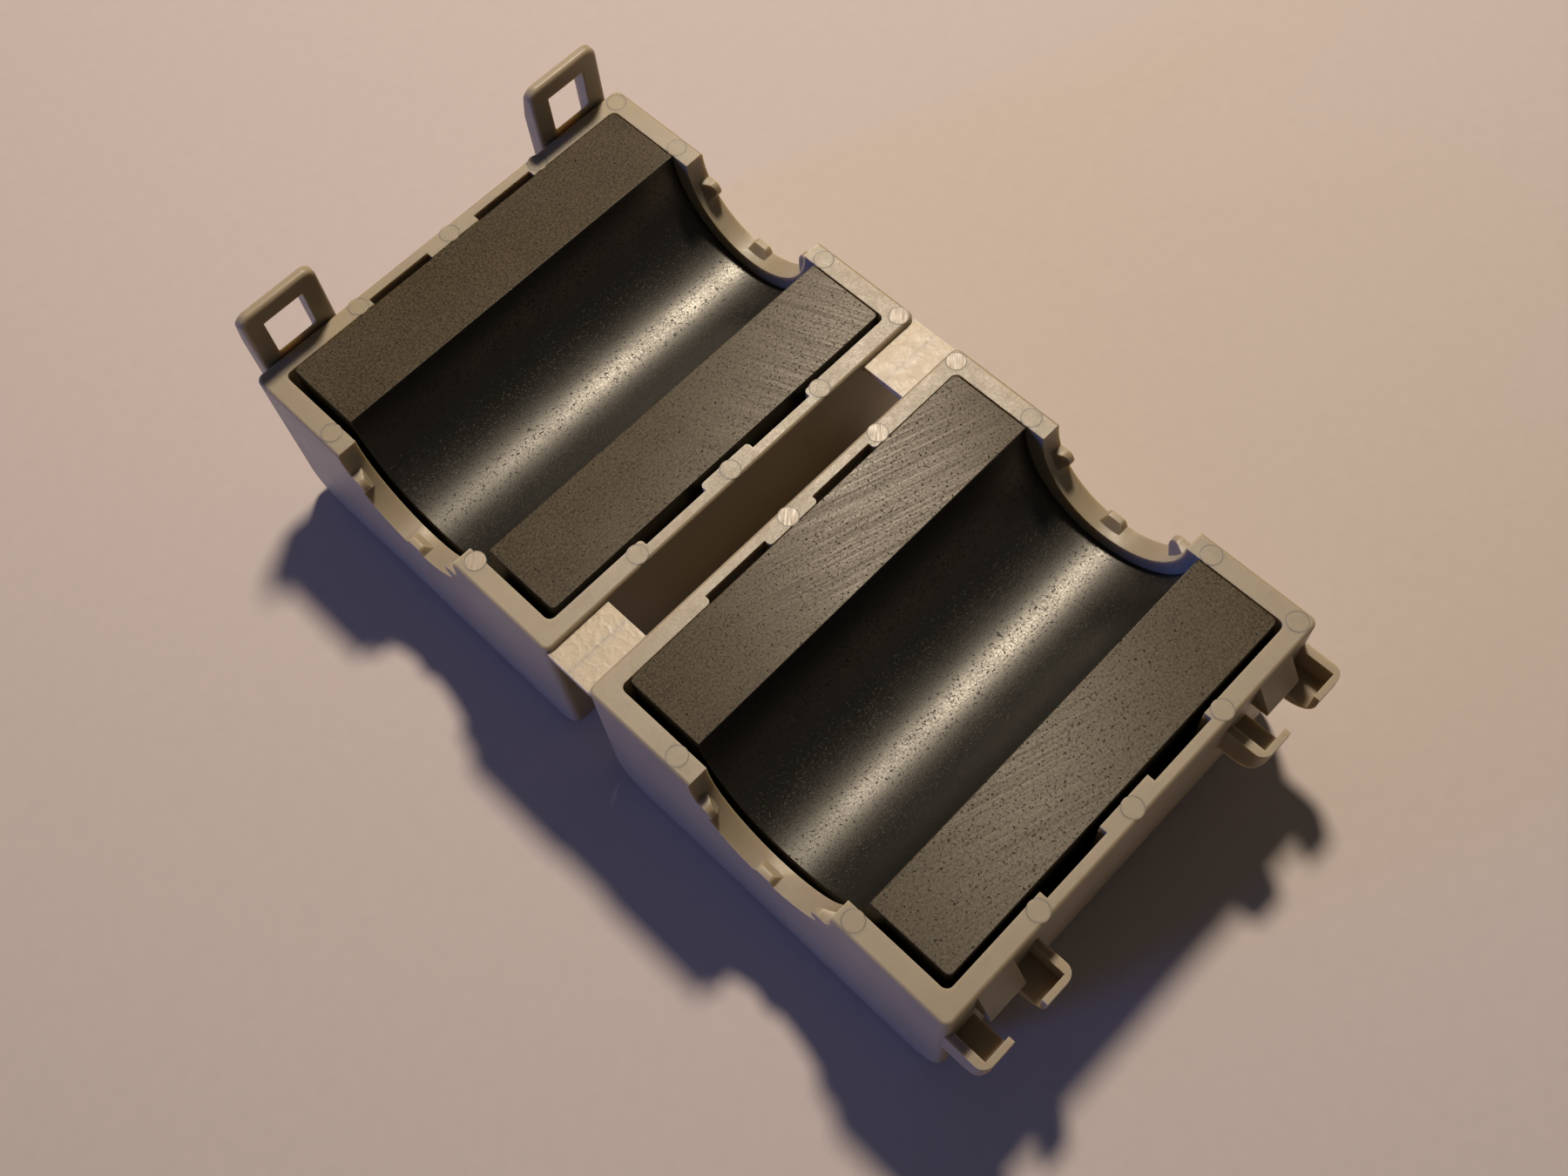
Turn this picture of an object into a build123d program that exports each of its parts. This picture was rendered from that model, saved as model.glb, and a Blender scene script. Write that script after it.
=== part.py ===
from build123d import *
import os

os.makedirs("parts", exist_ok=True)

# Case halves, open and lying on their backs with the rims up
half_width = 30.0
half_length = 34.4
half_depth = 15.0
hinge_gap = 3.7
back_radius = 3.0
edge_radius = 0.6
rim_radius = 0.25
pad_wall = 1.4
end_wall = 1.6
floor = 1.5
cavity_corner = 0.5

# Shallow pockets in the inner faces of the long walls
pocket_depth = 0.55
pocket_drop = 9.0
pocket_length_share = 0.157
pocket_centre_share = 0.1424
pad_corner = 0.3

# Half-round cut-outs of the end walls and their gripping teeth
cut_radius = 5.9
side_tooth_height = 0.9
bottom_tooth_height = 0.65
side_tooth_half_crest = 0.42
bottom_tooth_half_crest = 0.6
side_tooth_round = 0.6
bottom_tooth_round = 0.3
tooth_half_base = 1.15
tooth_land_share = 0.3
tooth_run_share = 0.62
side_tooth_angle = 30.0

# Sintered half cores, loose in the case and pushed to one side of their clearance
core_side_clearance = 0.25
core_end_clearance = 0.4
core_drop = 0.02
core_side_shift_share = 0.85
core_end_shift_share = 0.75
bore_radius = 7.1
core_chamfer = 1.7
core_corner = 0.4

# Film hinge straps at the two ends
strap_width = 5.1
strap_inset = 0.1
strap_thick = 0.5
strap_depth = 0.5
closing_gap = 0.03

# Latch loops on the outer wall of the loop half
latch_inset = 4.2
loop_width = 6.4
loop_clearance = 0.15
loop_thick = 1.4
loop_top_thick = 0.75
loop_taper_from = 2.2
loop_top = 5.15
loop_root_depth = 2.5
loop_corner = 0.9
loop_edge_radius = 0.35
window_width = 3.3
window_sill = 0.45
window_sill_fall = 1.8
window_top = 3.6
boss_straight = 1.2
boss_slope = 1.6

# Catches on the outer wall of the catch half: a ramped wedge between two cups
cup_reach = 2.95
cup_length = 2.65
cup_clearance = 0.3
cup_plate = 0.6
cup_lip = 0.45
cup_top = 3.2
cup_height = 3.0
cup_floor_clearance = 0.15
cup_back_radius = 2.1
cup_corner = 0.8
wedge_side_clearance = 0.125
wedge_sill_clearance = 0.15
wedge_lock_clearance = 0.2
wedge_proud = 1.2
wedge_land = 0.5

# Embedding of joined pieces and overrun of cuts
embed = 0.6
overrun = 1.0

# Stations across the open case, measured from the middle of the hinge
inner_wall = hinge_gap / 2
outer_wall = inner_wall + half_width
half_mid = inner_wall + half_width / 2
loop_inner = outer_wall + loop_clearance
loop_reach = loop_inner + loop_thick
catch_reach = outer_wall + cup_reach
hinge_y = (catch_reach - loop_reach) / 2
hinge_span = 2 * strap_depth + closing_gap
hinge_edge = hinge_span / 2

# Sizes and stations that follow from the case
cavity_width = half_width - 2 * pad_wall
cavity_length = half_length - 2 * end_wall
cavity_depth = half_depth - floor
pocket_length = half_length * pocket_length_share
pocket_centre = half_length * pocket_centre_share
core_width = cavity_width - 2 * core_side_clearance
core_length = cavity_length - 2 * core_end_clearance
core_height = cavity_depth - core_drop
core_shift_x = core_end_clearance * core_end_shift_share
core_shift_y = core_side_clearance * core_side_shift_share
strap_centre = half_length / 2 - strap_inset - strap_width / 2
latch_centre = half_length / 2 - latch_inset
tooth_land = end_wall * tooth_land_share
tooth_run = end_wall * tooth_run_share
sill_overrun_rise = overrun * window_sill_fall / loop_thick
cup_span = loop_width + 2 * cup_clearance + 2 * cup_plate
cup_hollow = loop_top - closing_gap - cup_top + cup_floor_clearance
wedge_width = window_width - 2 * wedge_side_clearance
wedge_from = window_sill + wedge_sill_clearance
wedge_lock = window_top - wedge_lock_clearance

# Cross-section plane: local x across the case, local y up from the rim plane
across = Plane(origin=(0, hinge_y, half_depth), x_dir=(0, 1, 0), z_dir=(1, 0, 0))
# Rim plane over the middle of the loop half, and the mirror plane between the halves
rim = Plane(origin=(0, hinge_y + half_mid, half_depth))
hinge_plane = Plane(origin=(0, hinge_y, 0), x_dir=(1, 0, 0), z_dir=(0, 1, 0))


def grip_tooth(height, half_crest, crest_round):
    """A blunt tooth: local x away from the cable, local z from the outer face of the wall inwards."""
    with BuildPart() as tooth:
        with BuildSketch():
            outline = Polygon(
                (cut_radius + embed, -tooth_half_base),
                (cut_radius - height, -half_crest),
                (cut_radius - height, half_crest),
                (cut_radius + embed, tooth_half_base),
                align=None,
            )
            fillet(outline.vertices().group_by(Axis.X)[0], crest_round)
        extrude(amount=tooth_run)
        # Back that slopes down to the wall
        with BuildSketch(Plane.XZ):
            Polygon(
                (cut_radius - height, 0),
                (cut_radius + embed, 0),
                (cut_radius + embed, tooth_run),
                (cut_radius, tooth_run),
                (cut_radius - height, tooth_land),
                align=None,
            )
        extrude(amount=tooth_half_base, both=True, mode=Mode.INTERSECT)
    return tooth.part


def catch_cup(latch_x, side):
    """A cup that takes one corner of a closed latch loop, open at the top and towards the wedge."""
    outer_x = latch_x + side * cup_span / 2
    hollow_x = outer_x - side * cup_plate
    open_x = outer_x - side * cup_length
    wall_y = hinge_y - outer_wall
    with BuildPart() as cup:
        with BuildSketch(Plane.XY.offset(half_depth - cup_top)):
            block = Polygon(
                (outer_x, wall_y + embed),
                (outer_x, wall_y - cup_reach),
                (open_x, wall_y - cup_reach),
                (open_x, wall_y + embed),
                align=None,
            )
            lip_corners = block.vertices().group_by(Axis.Y)[0]
            fillet(lip_corners.sort_by(Axis.X, reverse=side > 0)[0], cup_corner)
        extrude(amount=-cup_height)
        # Rounded back
        with BuildSketch(across.offset(latch_x)):
            with Locations((embed - outer_wall, -cup_top)):
                back = Rectangle(cup_reach + embed, cup_height, align=(Align.MAX, Align.MAX))
            fillet(back.vertices().group_by(Axis.Y)[0].sort_by(Axis.X)[0], cup_back_radius)
        extrude(amount=cup_span, both=True, mode=Mode.INTERSECT)
        # Hollow for the loop
        with BuildSketch(Plane.XY.offset(half_depth - cup_top)):
            Polygon(
                (hollow_x, wall_y),
                (hollow_x, wall_y - cup_reach + cup_lip),
                (open_x - side * overrun, wall_y - cup_reach + cup_lip),
                (open_x - side * overrun, wall_y),
                align=None,
            )
        extrude(amount=-cup_hollow, mode=Mode.SUBTRACT)
    return cup.part


# One half of the case, without its latch parts
with BuildPart() as case_tray:
    with BuildSketch(across):
        with Locations((half_mid, -half_depth / 2)):
            outline = Rectangle(half_width, half_depth)
        fillet(outline.vertices().group_by(Axis.Y)[0], back_radius)
    extrude(amount=half_length / 2, both=True)
    end_faces = case_tray.faces().sort_by(Axis.X)[0::len(case_tray.faces()) - 1]
    rounded = [edge for face in end_faces for edge in face.edges().sort_by(Axis.Z)[:-1]]
    fillet(rounded, edge_radius)
    fillet(case_tray.faces().sort_by(Axis.Z)[-1].edges(), rim_radius)
    # Cavity, and the pockets beside it between pads with rounded corners
    with BuildSketch(rim.offset(overrun)):
        RectangleRounded(cavity_length, cavity_width, cavity_corner)
    extrude(amount=-cavity_depth - overrun, mode=Mode.SUBTRACT)
    with BuildSketch(rim.offset(overrun)) as pockets:
        Rectangle(cavity_length - 2 * cavity_corner, cavity_width)
        with Locations((-pocket_centre, 0), (pocket_centre, 0)):
            Rectangle(pocket_length, cavity_width + 2 * pocket_depth)
        corner_rows = pockets.vertices().group_by(Axis.Y)
        for row in (corner_rows[1], corner_rows[-2]):
            fillet(row.sort_by(Axis.X)[1:-1], pad_corner)
    extrude(amount=-pocket_drop - overrun, mode=Mode.SUBTRACT)
    # Half-round way for the cable through both end walls
    with BuildSketch(across):
        with Locations((half_mid, 0)):
            Circle(cut_radius)
    extrude(amount=half_length / 2 + overrun, both=True, mode=Mode.SUBTRACT)
    # Teeth that rise towards the outer faces
    near_axis = across.offset(-half_length / 2).location * Location((half_mid, 0, 0))
    side_tooth = grip_tooth(side_tooth_height, side_tooth_half_crest, side_tooth_round)
    bottom_tooth = grip_tooth(bottom_tooth_height, bottom_tooth_half_crest, bottom_tooth_round)
    for shape, turn in (
        (side_tooth, -side_tooth_angle),
        (bottom_tooth, -90),
        (side_tooth, side_tooth_angle - 180),
    ):
        tooth = shape.moved(near_axis * Location((0, 0, 0), (0, 0, turn)))
        add(tooth)
        mirror(tooth, about=Plane.YZ)
    # Flanges that carry the hinge straps
    for end in (-1, 1):
        with BuildSketch(across.offset(end * strap_centre)):
            with Locations((hinge_edge, -strap_depth)):
                Rectangle(
                    inner_wall + embed - hinge_edge,
                    strap_thick,
                    align=(Align.MIN, Align.MAX),
                )
        extrude(amount=strap_width / 2, both=True)

with BuildPart() as loop_half_shell:
    add(case_tray.part)
    # Bosses under the latch loops
    for end in (-1, 1):
        with BuildSketch(across.offset(end * latch_centre)):
            Polygon(
                (outer_wall - embed, -loop_root_depth),
                (loop_reach, -loop_root_depth),
                (loop_reach, -loop_root_depth - boss_straight),
                (outer_wall, -loop_root_depth - boss_straight - boss_slope),
                (outer_wall - embed, -loop_root_depth - boss_straight - boss_slope),
                align=None,
            )
        extrude(amount=loop_width / 2, both=True)
loop_half_shell.part.label = "loop_half_shell"
export_step(loop_half_shell.part, "parts/loop_half_shell.step")

with BuildPart() as catch_half_shell:
    mirror(case_tray.part, about=hinge_plane)
    for end in (-1, 1):
        # Ramped wedge that the loop snaps over
        with BuildSketch(across.offset(end * latch_centre)):
            Polygon(
                (embed - outer_wall, -wedge_from),
                (-outer_wall, -wedge_from),
                (-outer_wall - wedge_proud, wedge_land - wedge_lock),
                (-outer_wall - wedge_proud, -wedge_lock),
                (embed - outer_wall, -wedge_lock),
                align=None,
            )
        extrude(amount=wedge_width / 2, both=True)
        for side in (-1, 1):
            add(catch_cup(end * latch_centre, side))
catch_half_shell.part.label = "catch_half_shell"
export_step(catch_half_shell.part, "parts/catch_half_shell.step")

for name, end in (("near_hinge_strap", -1), ("far_hinge_strap", 1)):
    with BuildPart() as strap:
        with BuildSketch(across.offset(end * strap_centre)):
            with Locations((0, -strap_depth)):
                Rectangle(hinge_span, strap_thick, align=(Align.CENTER, Align.MAX))
        extrude(amount=strap_width / 2, both=True)
    strap.part.label = name
    export_step(strap.part, f"parts/{name}.step")

for name, end in (("near_latch_loop", -1), ("far_latch_loop", 1)):
    with BuildPart() as loop:
        with BuildSketch(across.offset(end * latch_centre)):
            Polygon(
                (loop_inner, -loop_root_depth),
                (loop_inner, loop_top),
                (loop_inner + loop_top_thick, loop_top),
                (loop_reach, loop_taper_from),
                (loop_reach, -loop_root_depth),
                align=None,
            )
        extrude(amount=loop_width / 2, both=True)
        fillet(loop.edges().filter_by(Axis.Y).group_by(Axis.Z)[-1], loop_corner)
        fillet(loop.faces().sort_by(Axis.Y)[0].edges().sort_by(Axis.Z)[1:], loop_edge_radius)
        # Window over the wedge, with a sill that falls away outwards
        with BuildSketch(across.offset(end * latch_centre)):
            Polygon(
                (loop_inner - overrun, window_sill + sill_overrun_rise),
                (loop_reach + overrun, window_sill - window_sill_fall - sill_overrun_rise),
                (loop_reach + overrun, window_top),
                (loop_inner - overrun, window_top),
                align=None,
            )
        extrude(amount=window_width / 2, both=True, mode=Mode.SUBTRACT)
    loop.part.label = name
    export_step(loop.part, f"parts/{name}.step")

for name, middle in (("loop_half_core", half_mid), ("catch_half_core", -half_mid)):
    with BuildPart() as core:
        with BuildSketch(across.offset(core_shift_x)):
            with Locations((middle + core_shift_y, -core_drop)):
                block = Rectangle(core_width, core_height, align=(Align.CENTER, Align.MAX))
                chamfer(block.vertices().group_by(Axis.Y)[0], core_chamfer)
                Circle(bore_radius, mode=Mode.SUBTRACT)
        extrude(amount=core_length / 2, both=True)
        fillet(core.edges().filter_by(Axis.Z), core_corner)
    core.part.label = name
    export_step(core.part, f"parts/{name}.step")
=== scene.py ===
import math

import bpy
from mathutils import Matrix, Vector, noise


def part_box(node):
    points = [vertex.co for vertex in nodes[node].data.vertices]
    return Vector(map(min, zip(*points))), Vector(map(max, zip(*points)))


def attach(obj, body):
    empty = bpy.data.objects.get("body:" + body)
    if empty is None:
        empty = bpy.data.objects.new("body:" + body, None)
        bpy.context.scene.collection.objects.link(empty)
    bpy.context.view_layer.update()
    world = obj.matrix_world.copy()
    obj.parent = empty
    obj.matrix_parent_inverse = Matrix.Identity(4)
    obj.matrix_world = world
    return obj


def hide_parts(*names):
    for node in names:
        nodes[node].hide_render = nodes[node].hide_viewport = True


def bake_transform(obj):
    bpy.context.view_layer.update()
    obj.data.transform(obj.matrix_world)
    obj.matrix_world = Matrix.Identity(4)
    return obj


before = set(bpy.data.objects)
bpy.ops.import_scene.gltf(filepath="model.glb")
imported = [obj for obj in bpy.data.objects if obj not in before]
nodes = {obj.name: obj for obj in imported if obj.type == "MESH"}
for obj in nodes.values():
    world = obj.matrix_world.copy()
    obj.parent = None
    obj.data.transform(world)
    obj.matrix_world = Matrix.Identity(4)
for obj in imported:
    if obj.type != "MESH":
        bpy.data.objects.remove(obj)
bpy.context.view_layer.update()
scene = bpy.context.scene
scene.view_settings.view_transform = "Standard"

MM = 0.001

# Camera, fitted to the corners of the open case
CAMERA_PLACE = Vector((-32.75, -40.19, 110.45)) * MM
CAMERA_RIGHT = Vector((0.69707, -0.71527, -0.04995))
CAMERA_UP = Vector((0.66249, 0.61586, 0.42641))
CAMERA_LENS = 38.24
CAMERA_SENSOR = 36.0
CAMERA_NEAREST = 5.0 * MM

# Warm key lamp over the far end, cool low light from the near end, and an even fill
KEY_PLACE = Vector((118.0, 106.0, 290.0)) * MM
KEY_SIZE = 42.0 * MM
KEY_POWER = 0.98
KEY_COLOUR = (1.0, 0.87, 0.70)
COOL_FROM = Vector((-1.0, 0.4, 0.2))
COOL_SPREAD = math.radians(15.0)
COOL_STRENGTH = 1.25
COOL_COLOUR = (0.12, 0.24, 1.0)
FILL_COLOUR = (1.0, 0.95, 0.9)
FILL_STRENGTH = 0.06

# Floor, which runs into a plain backdrop well away from the object
FLOOR_SIZE = 4000.0 * MM
FLOOR_COLOUR = (0.60, 0.515, 0.48)
FLOOR_MOTTLE = 0.97
FLOOR_ROUGHNESS = 0.85
BACKDROP_COLOUR = (0.5, 0.4, 0.33)
BACKDROP_STARTS = 90.0 * MM
BACKDROP_FULL = 250.0 * MM

# Colours: pale, dark, and soil, or painted shade for pits, where a finish has them
CASE_COLOURS = ((0.37, 0.303, 0.208), (0.33, 0.268, 0.184), (0.275, 0.216, 0.142))
# Groove colours are painted shade: they darken the shallow groove round each pin mark
GROOVE_PAINTED_SHADE_COLOURS = ((0.27, 0.211, 0.148), (0.24, 0.187, 0.13), (0.2, 0.155, 0.106))
# Pin colours are a painted highlight: paler than the case, for the reflection off polished pin ends
PIN_PAINTED_GLINT_COLOURS = ((0.47, 0.385, 0.285), (0.37, 0.295, 0.21))
FILM_COLOURS = ((0.6, 0.495, 0.36), (0.49, 0.398, 0.285))
# The last ground colour is painted shade for the pores, which the bump also sinks
GROUND_COLOURS = ((0.115, 0.089, 0.058), (0.046, 0.036, 0.022), (0.010, 0.008, 0.006))
FIRED_COLOURS = ((0.005, 0.0048, 0.0038), (0.003, 0.003, 0.0025))

# Slant of the tool marks, about Z from +X
LOOP_HALF_GRIND = math.radians(-67.0)
CATCH_HALF_GRIND = math.radians(-18.0)
PIN_GRIND = math.radians(40.0)

# Rounding of the CAD nodes' sharp edges
CASE_EDGE = 0.12 * MM
CORE_EDGE = 0.08 * MM
EDGE_SEGMENTS = 3
EDGE_ANGLE = math.radians(32.0)
FLAT_ANGLE = math.radians(0.6)
WELD_REACH = 0.0005 * MM
FULL_WEIGHT = 100

# Levels and places read from the CAD nodes
GROUND_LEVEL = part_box("loop_half_core")[1].z
GROUND_TOLERANCE = 0.01 * MM
RIM_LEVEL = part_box("loop_half_shell")[1].z
STRAP_BOXES = {name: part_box(name) for name in ("near_hinge_strap", "far_hinge_strap")}
HINGE_Y = (STRAP_BOXES["near_hinge_strap"][0].y + STRAP_BOXES["near_hinge_strap"][1].y) / 2

# Film over the hinge straps; its creases fade out over a few steps at each end
FILM_COVER = 0.03 * MM
FILM_REACH = 1.9 * MM
FILM_STEP = 0.07 * MM
FILM_FADE_STEPS = 3
FILM_SPLIT_ANGLE = math.radians(50.0)

# Creases of the film: thin ridges and fine folds, with rates in features per millimetre.
# Each strap has its own slice of the noise, and the seed makes the noise the same in each run.
CREASE_SEED = 5
CREASE_SLICES = {"near_hinge_strap": 3.0, "far_hinge_strap": 7.0}
CREASE_HEIGHT = 0.024 * MM
BEND_REACH = 0.5
BEND_RATE = 0.9
RIDGE_SHARE = 0.62
RIDGE_RATE_X = 1.35
RIDGE_RATE_Y = 1.05
RIDGE_SHARPNESS = 5
FINE_SHARE = 0.3
FINE_RATE = 2.2
FINE_DECAY = 0.8
FINE_STEP_UP = 2.1
FINE_LAYERS = 3

# Witness marks of the ejector pins: a face, a groove round it, and a skirt sunk in the rim
MARK_RADIUS = 0.74 * MM
MARK_GROOVE = 0.07 * MM
MARK_PROUD = 0.01 * MM
MARK_DEPTH = 0.35 * MM
MARK_SIDES = 40
MARK_RINGS = (
    (MARK_RADIUS - MARK_GROOVE, MARK_PROUD),
    (MARK_RADIUS - MARK_GROOVE / 2, MARK_PROUD / 3),
    (MARK_RADIUS, MARK_PROUD * 2 / 3),
    (MARK_RADIUS, -MARK_DEPTH),
)
FACE_FINISH, GROOVE_FINISH, SKIRT_FINISH = range(3)
MARK_BANDS = (GROOVE_FINISH, GROOVE_FINISH, SKIRT_FINISH)

# Places of the marks in millimetres, from the middle of the hinge
# The first set has pin faces with a painted highlight; the faint set keeps the case colour
PAINTED_GLINT_MARKS = {
    "loop_half": ((-16.0, 10.0), (16.35, 2.65)),
    "catch_half": ((0.1, -2.62), (8.6, -2.6), (16.25, -2.7)),
}
FAINT_MARKS = {
    "loop_half": (
        (0.0, 2.62), (8.5, 2.62), (-8.5, 2.62), (0.0, 31.12), (8.5, 31.12), (-8.5, 31.12),
        (16.3, 9.7), (16.3, 24.5), (-16.3, 24.5), (16.25, 30.9),
    ),
    "catch_half": (
        (0.0, -31.12), (8.5, -31.12), (-8.5, -31.12), (16.3, -9.3), (-16.3, -9.1), (-16.3, -23.8),
        (16.3, -24.2), (16.25, -30.9),
    ),
}


def new_camera():
    """The camera of the photograph."""
    camera = bpy.data.objects.new("camera", bpy.data.cameras.new("camera"))
    scene.collection.objects.link(camera)
    back = CAMERA_RIGHT.cross(CAMERA_UP).normalized()
    turned = Matrix((CAMERA_RIGHT, CAMERA_UP, back)).transposed().to_4x4()
    camera.matrix_world = Matrix.Translation(CAMERA_PLACE) @ turned
    camera.data.sensor_width = CAMERA_SENSOR
    camera.data.lens = CAMERA_LENS
    camera.data.clip_start = CAMERA_NEAREST
    scene.camera = camera


def new_light(name, kind, source):
    """A light that shines from the direction of source towards the origin."""
    holder = bpy.data.objects.new(name, bpy.data.lights.new(name, kind))
    scene.collection.objects.link(holder)
    holder.rotation_euler = source.to_track_quat("Z", "Y").to_euler()
    return holder


def new_key():
    """A round soft lamp."""
    holder = new_light("key", "AREA", KEY_PLACE)
    holder.location = KEY_PLACE
    holder.data.shape = "DISK"
    holder.data.size = KEY_SIZE
    holder.data.energy = KEY_POWER
    holder.data.color = KEY_COLOUR


def new_cool_light():
    """Even cool light, which shows in no reflection."""
    holder = new_light("cool", "SUN", COOL_FROM)
    holder.data.angle = COOL_SPREAD
    holder.data.energy = COOL_STRENGTH
    holder.data.color = COOL_COLOUR
    holder.visible_glossy = False


def new_fill():
    """An even fill from all round, behind which the camera sees the backdrop."""
    world = bpy.data.worlds.new("fill")
    scene.world = world
    world.use_nodes = True
    tree = world.node_tree
    fill = tree.nodes["Background"]
    fill.inputs["Color"].default_value = (*FILL_COLOUR, 1.0)
    fill.inputs["Strength"].default_value = FILL_STRENGTH
    backdrop = tree.nodes.new("ShaderNodeBackground")
    backdrop.inputs["Color"].default_value = (*BACKDROP_COLOUR, 1.0)
    seen = tree.nodes.new("ShaderNodeLightPath").outputs["Is Camera Ray"]
    choice = tree.nodes.new("ShaderNodeMixShader")
    tree.links.new(seen, choice.inputs["Fac"])
    tree.links.new(fill.outputs["Background"], choice.inputs[1])
    tree.links.new(backdrop.outputs["Background"], choice.inputs[2])
    tree.links.new(choice.outputs["Shader"], tree.nodes["World Output"].inputs["Surface"])


class Shader:
    """A material's node tree, with short calls for the nodes used here."""

    def __init__(self, name):
        self.material = bpy.data.materials.new(name)
        self.material.use_nodes = True
        self.tree = self.material.node_tree
        self.surface = self.tree.nodes["Principled BSDF"]
        self.place = self.add("ShaderNodeTexCoord").outputs["Object"]

    def add(self, kind, **settings):
        """A new node with these settings."""
        node = self.tree.nodes.new(kind)
        for key, value in settings.items():
            setattr(node, key, value)
        return node

    def feed(self, socket, value):
        """Links an output to a socket, or sets a plain value on it."""
        if isinstance(value, bpy.types.NodeSocket):
            self.tree.links.new(value, socket)
        else:
            socket.default_value = value

    def fixed(self, **values):
        """Sets sockets of the surface that are the same all over."""
        for key, value in values.items():
            self.surface.inputs[key.replace("_", " ")].default_value = value

    def math(self, operation, first, second):
        """The result of one operation on two numbers."""
        node = self.add("ShaderNodeMath", operation=operation)
        self.feed(node.inputs[0], first)
        self.feed(node.inputs[1], second)
        return node.outputs[0]

    def weighed(self, *pairs):
        """The sum of socket times weight."""
        total = 0.0
        for socket, weight in pairs:
            total = self.math("ADD", self.math("MULTIPLY", socket, weight), total)
        return total

    def along(self, direction):
        """A direction that is fixed to the piece."""
        node = self.add("ShaderNodeVectorTransform", convert_from="OBJECT", convert_to="WORLD")
        node.inputs["Vector"].default_value = direction
        return node.outputs["Vector"]

    def noise(self, size, detail, roughness=0.5, vector=None):
        """Noise whose features are about size metres across."""
        node = self.add("ShaderNodeTexNoise")
        node.inputs["Scale"].default_value = 1.0 / size
        node.inputs["Detail"].default_value = detail
        node.inputs["Roughness"].default_value = roughness
        self.feed(node.inputs["Vector"], vector or self.place)
        return node.outputs["Fac"]

    def streaks(self, sizes, turn, detail, roughness=0.5):
        """Noise with features of these sizes, the first along a line turned about Z."""
        node = self.add("ShaderNodeMapping", vector_type="TEXTURE")
        node.inputs["Rotation"].default_value = (0.0, 0.0, turn)
        node.inputs["Scale"].default_value = sizes
        self.feed(node.inputs["Vector"], self.place)
        return self.noise(1.0, detail, roughness, node.outputs["Vector"])

    def between(self, value, low, high, to=(0.0, 1.0)):
        """Maps the range from low to high onto another, and clips what lies outside."""
        node = self.add("ShaderNodeMapRange")
        self.feed(node.inputs["Value"], value)
        for key, number in zip(("From Min", "From Max", "To Min", "To Max"), (low, high, *to)):
            node.inputs[key].default_value = number
        return node.outputs["Result"]

    def mix(self, share, first, second):
        """Goes from the first colour to the second as share goes from 0 to 1."""
        node = self.add("ShaderNodeMix", data_type="RGBA")
        self.feed(node.inputs["Factor"], share)
        for key, colour in (("A", first), ("B", second)):
            linked = isinstance(colour, bpy.types.NodeSocket)
            self.feed(node.inputs[key], colour if linked else (*colour, 1.0))
        return node.outputs["Result"]

    def bump(self, height, depth, strength):
        """A normal for relief of this depth in metres."""
        node = self.add("ShaderNodeBump")
        node.inputs["Strength"].default_value = strength
        node.inputs["Distance"].default_value = depth
        self.feed(node.inputs["Height"], height)
        return node.outputs["Normal"]

    def done(self, colour, roughness, normal):
        """The material, with its surface fed."""
        self.feed(self.surface.inputs["Base Color"], colour)
        self.feed(self.surface.inputs["Roughness"], roughness)
        self.feed(self.surface.inputs["Normal"], normal)
        return self.material


def moulded_plastic(name, pale, dark, soil):
    """Satin plastic that lets a little light through, with flow clouds, faint soil and a fine grain."""
    s = Shader(name)
    clouds = s.noise(5.0 * MM, detail=3.0)
    smears = s.noise(1.3 * MM, detail=4.0, roughness=0.65)
    grain = s.noise(0.16 * MM, detail=2.0)
    colour = s.mix(s.between(clouds, 0.3, 0.7), dark, pale)
    colour = s.mix(s.between(smears, 0.58, 0.8, to=(0.0, 0.5)), colour, soil)
    roughness = s.between(s.weighed((grain, 0.5), (smears, 0.5)), 0.3, 0.7, to=(0.36, 0.54))
    s.fixed(
        Subsurface_Weight=0.65,
        Subsurface_Radius=(1.0, 0.78, 0.42),
        Subsurface_Scale=1.2 * MM,
    )
    return s.done(colour, roughness, s.bump(grain, depth=0.01 * MM, strength=0.4))


def stretched_film(name, pale, dark):
    """Stress-whitened film with a crazed surface, whose fine crease lines are sunk in the bump and
    darkened with painted shade.
    """
    s = Shader(name)
    warp = s.noise(0.5 * MM, detail=3.0)
    shifted = s.add("ShaderNodeVectorMath", operation="ADD")
    s.feed(shifted.inputs[0], s.place)
    s.feed(shifted.inputs[1], s.math("MULTIPLY", warp, 0.6 * MM))
    cells = s.add("ShaderNodeTexVoronoi", feature="DISTANCE_TO_EDGE")
    cells.inputs["Scale"].default_value = 1.0 / (0.75 * MM)
    s.feed(cells.inputs["Vector"], shifted.outputs["Vector"])
    crease_relief_and_shade = s.between(cells.outputs["Distance"], 0.0, 0.07)
    clouds = s.noise(0.8 * MM, detail=4.0, roughness=0.6)
    tone = s.weighed((crease_relief_and_shade, 0.26), (clouds, 0.74))
    # The crease lines come out darker in colour: painted shade in the creases
    colour = s.mix(s.between(tone, 0.3, 0.75), dark, pale)
    roughness = s.between(clouds, 0.3, 0.7, to=(0.38, 0.52))
    s.fixed(
        Subsurface_Weight=0.6,
        Subsurface_Radius=(1.0, 0.8, 0.6),
        Subsurface_Scale=1.0 * MM,
    )
    return s.done(colour, roughness, s.bump(tone, depth=0.02 * MM, strength=0.5))


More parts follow.
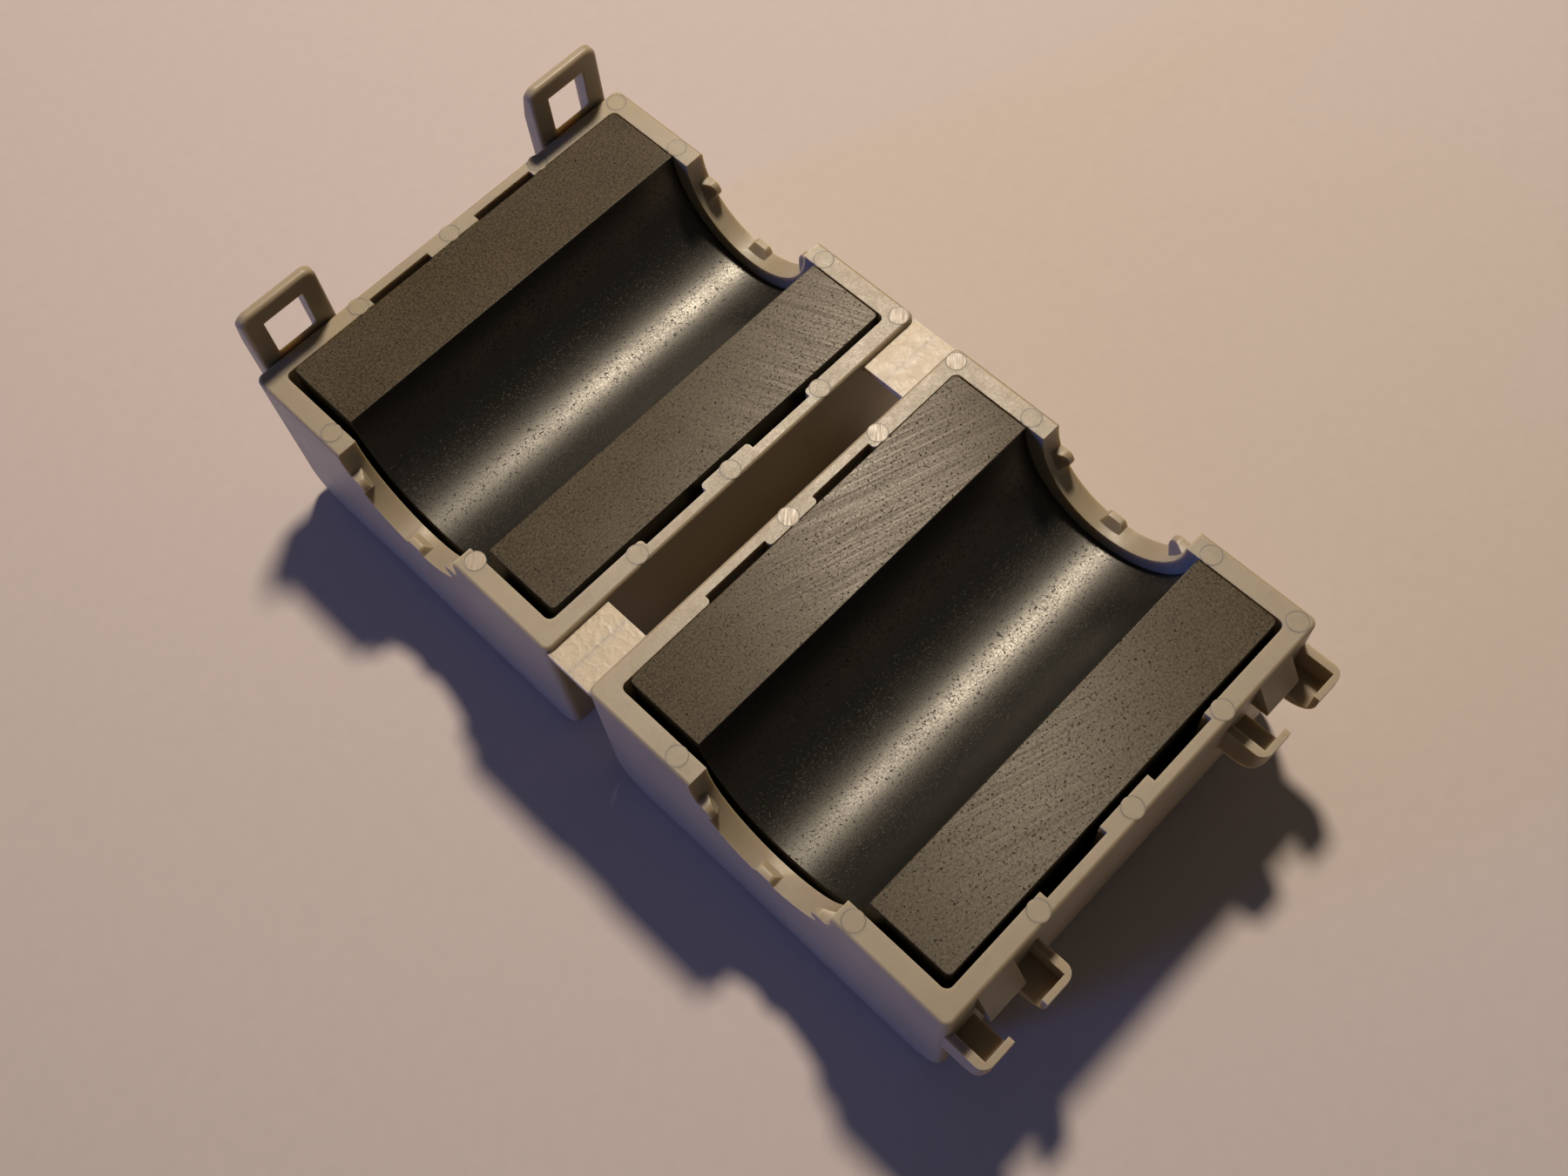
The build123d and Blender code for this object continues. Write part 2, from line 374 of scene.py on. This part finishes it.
def ground_ferrite(name, turn, pale, dark, pit_painted_shade):
    """Joint face of a core: open grain, pits darkened with painted shade, and the marks of the grinding
    wheel, turned about Z.
    """
    s = Shader(name)
    marks = s.streaks((9.0 * MM, 0.18 * MM, 1.0 * MM), turn, detail=3.0, roughness=0.6)
    bands = s.streaks((16.0 * MM, 0.9 * MM, 3.0 * MM), turn, detail=2.0)
    grain = s.noise(0.17 * MM, detail=2.0, roughness=0.75)
    holes = s.noise(0.2 * MM, detail=2.0, roughness=0.7)
    clouds = s.noise(4.0 * MM, detail=3.0)
    pits = s.between(holes, 0.395, 0.335)
    tone = s.weighed((grain, 0.8), (marks, 0.06), (clouds, 0.14))
    colour = s.mix(s.between(tone, 0.40, 0.61), dark, pale)
    # Pits are real hollows in the bump; their dark colour is painted shade
    colour = s.mix(pits, colour, pit_painted_shade)
    shine = s.weighed((marks, 0.56), (bands, 0.18), (grain, 0.26))
    polish = s.between(shine, 0.39, 0.61, to=(0.45, 0.30))
    roughness = s.math("ADD", polish, s.math("MULTIPLY", pits, 0.3))
    height = s.weighed((grain, 0.45), (marks, 0.9), (pits, -0.8))
    s.fixed(Specular_IOR_Level=0.21, Specular_Tint=(1.0, 0.95, 0.88, 1.0), Anisotropic=0.82)
    s.feed(s.surface.inputs["Tangent"], s.along((-math.sin(turn), math.cos(turn), 0.0)))
    return s.done(colour, roughness, s.bump(height, depth=0.008 * MM, strength=0.6))


def fired_ferrite(name, pale, dark):
    """Sides and channel of the cores as they left the kiln: near black, with a sandy sheen."""
    s = Shader(name)
    grain = s.noise(0.15 * MM, detail=3.0, roughness=0.8)
    holes = s.noise(0.2 * MM, detail=2.0, roughness=0.7)
    clouds = s.noise(3.0 * MM, detail=3.0)
    pits = s.between(holes, 0.39, 0.32)
    colour = s.mix(s.between(clouds, 0.3, 0.7), dark, pale)
    polish = s.between(s.weighed((grain, 0.8), (clouds, 0.2)), 0.36, 0.64, to=(0.5, 0.32))
    roughness = s.math("ADD", polish, s.math("MULTIPLY", pits, 0.35))
    height = s.weighed((grain, 0.6), (pits, -0.8))
    s.fixed(IOR=1.75, Specular_Tint=(1.0, 0.95, 0.87, 1.0))
    return s.done(colour, roughness, s.bump(height, depth=0.018 * MM, strength=0.7))


def pin_face_painted_glint(name, pale, dark):
    """End of an ejector pin printed in the plastic, with slanting tool marks; its pale colour is a
    painted highlight, standing in for the lamp's reflection off the polished pin end.
    """
    s = Shader(name)
    scores = s.streaks((1.1 * MM, 0.16 * MM, 1.0 * MM), PIN_GRIND, detail=3.0, roughness=0.6)
    colour = s.mix(s.between(scores, 0.35, 0.65), dark, pale)
    roughness = s.between(scores, 0.35, 0.65, to=(0.5, 0.34))
    return s.done(colour, roughness, s.bump(scores, depth=0.006 * MM, strength=0.5))


def paper(name):
    """Plain pale floor, which the camera sees turn into the backdrop away from the object."""
    s = Shader(name)
    fibre = s.noise(1.2 * MM, detail=4.0)
    mottle = [channel * FLOOR_MOTTLE for channel in FLOOR_COLOUR]
    colour = s.mix(s.between(fibre, 0.3, 0.7), mottle, FLOOR_COLOUR)
    s.done(colour, FLOOR_ROUGHNESS, s.bump(fibre, depth=0.02 * MM, strength=0.3))
    reach = s.add("ShaderNodeVectorMath", operation="LENGTH")
    s.feed(reach.inputs[0], s.place)
    away = s.between(reach.outputs["Value"], BACKDROP_STARTS, BACKDROP_FULL)
    seen = s.add("ShaderNodeLightPath").outputs["Is Camera Ray"]
    glow = s.add("ShaderNodeEmission")
    glow.inputs["Color"].default_value = (*BACKDROP_COLOUR, 1.0)
    choice = s.add("ShaderNodeMixShader")
    s.feed(choice.inputs["Fac"], s.math("MULTIPLY", away, seen))
    s.feed(choice.inputs[1], s.surface.outputs["BSDF"])
    s.feed(choice.inputs[2], glow.outputs["Emission"])
    s.feed(s.tree.nodes["Material Output"].inputs["Surface"], choice.outputs["Shader"])
    return s.material


def soften(node, width):
    """Rounds a CAD node's sharp edges, as moulding or tumbling leaves them."""
    node.data.polygons.foreach_set("use_smooth", [True] * len(node.data.polygons))
    weld = node.modifiers.new("weld", "WELD")
    weld.merge_threshold = WELD_REACH
    flat = node.modifiers.new("flat", "DECIMATE")
    flat.decimate_type = "DISSOLVE"
    flat.angle_limit = FLAT_ANGLE
    flat.delimit = {"MATERIAL"}
    bevel = node.modifiers.new("bevel", "BEVEL")
    bevel.width = width
    bevel.segments = EDGE_SEGMENTS
    bevel.limit_method = "ANGLE"
    bevel.angle_limit = EDGE_ANGLE
    even = node.modifiers.new("even", "WEIGHTED_NORMAL")
    even.mode = "FACE_AREA"
    even.weight = FULL_WEIGHT


def dress(name, edge, *finishes):
    """Gives a CAD node its finishes and its softened edges."""
    node = nodes[name]
    node.data.materials.clear()
    for finish in finishes:
        node.data.materials.append(finish)
    soften(node, edge)


def dress_core(name, fired, ground):
    """Gives a core its fired finish, and the ground one on its joint faces."""
    dress(name, CORE_EDGE, fired, ground)
    for face in nodes[name].data.polygons:
        face.material_index = int(face.center.z > GROUND_LEVEL - GROUND_TOLERANCE)


def new_piece(name, points, faces, finishes, face_finish=None, smooth=True):
    """A mesh object of the scene."""
    mesh = bpy.data.meshes.new(name)
    mesh.from_pydata(points, [], faces)
    for finish in finishes:
        mesh.materials.append(finish)
    if face_finish:
        mesh.polygons.foreach_set("material_index", face_finish)
    mesh.polygons.foreach_set("use_smooth", [smooth] * len(mesh.polygons))
    piece = bpy.data.objects.new(name, mesh)
    scene.collection.objects.link(piece)
    return piece


def crease(x, y, depth):
    """Height of the film's creases at a point, from the noise at this depth."""
    at = Vector((x, y, depth * MM)) / MM
    bent = at + BEND_REACH * noise.noise_vector(at * BEND_RATE)
    swell = noise.noise(Vector((bent.x * RIDGE_RATE_X, bent.y * RIDGE_RATE_Y, depth)))
    ridge = (1.0 - abs(swell) * 2.0) ** RIDGE_SHARPNESS
    fine = noise.fractal(bent * FINE_RATE, FINE_DECAY, FINE_STEP_UP, FINE_LAYERS)
    return CREASE_HEIGHT * (RIDGE_SHARE * ridge + FINE_SHARE * fine)


def film_points(low, high, start_y, across, along, depth):
    """The film's upper grid, which is creased, and then its flat lower one."""
    first, last = low.x - FILM_COVER, high.x + FILM_COVER
    upper = []
    lower = []
    for j in range(along + 1):
        y = start_y + FILM_REACH * j / along
        for i in range(across + 1):
            x = first + (last - first) * i / across
            fade = min(1.0, i / FILM_FADE_STEPS, (across - i) / FILM_FADE_STEPS)
            rise = max(crease(x, y, depth) * fade, -FILM_COVER / 2)
            upper.append((x, y, high.z + FILM_COVER + rise))
            lower.append((x, y, low.z - FILM_COVER))
    return upper + lower


def slab_faces(across, along):
    """Outward faces of a slab with an upper and a lower grid, rows along X."""
    row = across + 1
    under = row * (along + 1)
    faces = []
    for j in range(along):
        for i in range(across):
            a = j * row + i
            faces.append((a, a + 1, a + 1 + row, a + row))
            faces.append((under + a, under + a + row, under + a + 1 + row, under + a + 1))
    for a in range(0, along * row, row):
        b = a + across
        faces.append((a, a + row, under + a + row, under + a))
        faces.append((b, under + b, under + b + row, b + row))
    for a in range(across):
        b = a + along * row
        faces.append((a, under + a, under + a + 1, a + 1))
        faces.append((b, b + 1, under + b + 1, under + b))
    return faces


def hinge_film(strap, half, side, finish):
    """Half of a wrinkled strap, from the wall of one case half to the middle of the hinge."""
    low, high = STRAP_BOXES[strap]
    start_y = HINGE_Y if side > 0 else HINGE_Y - FILM_REACH
    across = round((high.x - low.x + 2 * FILM_COVER) / FILM_STEP)
    along = round(FILM_REACH / FILM_STEP)
    points = film_points(low, high, start_y, across, along, CREASE_SLICES[strap])
    film = new_piece(f"{strap}_{half}_film", points, slab_faces(across, along), [finish])
    edges = film.modifiers.new("edges", "EDGE_SPLIT")
    edges.split_angle = FILM_SPLIT_ANGLE
    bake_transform(film)
    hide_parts(strap)


def pin_marks(name, places, body, finishes):
    """Shallow round witness marks on a rim, with finishes for face, groove and skirt."""
    points = []
    faces = []
    face_finish = []
    for x, y in places:
        middle = Vector((x * MM, HINGE_Y + y * MM, RIM_LEVEL))
        top = len(points)
        points.append(middle + Vector((0.0, 0.0, MARK_PROUD)))
        rings = []
        for radius, rise in MARK_RINGS:
            rings.append(range(len(points), len(points) + MARK_SIDES))
            for k in range(MARK_SIDES):
                turn = 2 * math.pi * k / MARK_SIDES
                points.append(middle + Vector((radius * math.cos(turn), radius * math.sin(turn), rise)))
        for k in range(MARK_SIDES):
            faces.append((top, rings[0][k - 1], rings[0][k]))
            face_finish.append(FACE_FINISH)
            for inner, outer, finish in zip(rings, rings[1:], MARK_BANDS):
                faces.append((inner[k - 1], outer[k - 1], outer[k], inner[k]))
                face_finish.append(finish)
        faces.append(tuple(reversed(rings[-1])))
        face_finish.append(SKIRT_FINISH)
    marks = new_piece(name, points, faces, finishes, face_finish, smooth=False)
    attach(marks, body)


def new_floor():
    """A square of paper under the object."""
    corners = ((-1, -1), (1, -1), (1, 1), (-1, 1))
    points = [(x * FLOOR_SIZE / 2, y * FLOOR_SIZE / 2, 0.0) for x, y in corners]
    new_piece("floor", points, [(0, 1, 2, 3)], [paper("floor_paper")])


new_camera()
new_key()
new_cool_light()
new_fill()

case = moulded_plastic("case_plastic", *CASE_COLOURS)
strap_film = stretched_film("strap_plastic", *FILM_COLOURS)
loop_ground = ground_ferrite("loop_ground_ferrite", LOOP_HALF_GRIND, *GROUND_COLOURS)
catch_ground = ground_ferrite("catch_ground_ferrite", CATCH_HALF_GRIND, *GROUND_COLOURS)
fired = fired_ferrite("fired_ferrite", *FIRED_COLOURS)
# Pin faces paler than the case: a painted highlight
pin = pin_face_painted_glint("pin_face_painted_glint", *PIN_PAINTED_GLINT_COLOURS)
# The groove round every pin mark is darkened with painted shade
groove_painted_shade = moulded_plastic("pin_groove_painted_shade", *GROOVE_PAINTED_SHADE_COLOURS)

for name in ("loop_half_shell", "catch_half_shell", "near_latch_loop", "far_latch_loop"):
    dress(name, CASE_EDGE, case)
dress_core("loop_half_core", fired, loop_ground)
dress_core("catch_half_core", fired, catch_ground)
noise.seed_set(CREASE_SEED)
for strap in STRAP_BOXES:
    hinge_film(strap, "loop", 1, strap_film)
    hinge_film(strap, "catch", -1, strap_film)
for half in ("loop_half", "catch_half"):
    pin_marks(f"{half}_painted_glint_marks", PAINTED_GLINT_MARKS[half], half, [pin, groove_painted_shade, case])
    pin_marks(f"{half}_faint_marks", FAINT_MARKS[half], half, [case, groove_painted_shade, case])
new_floor()
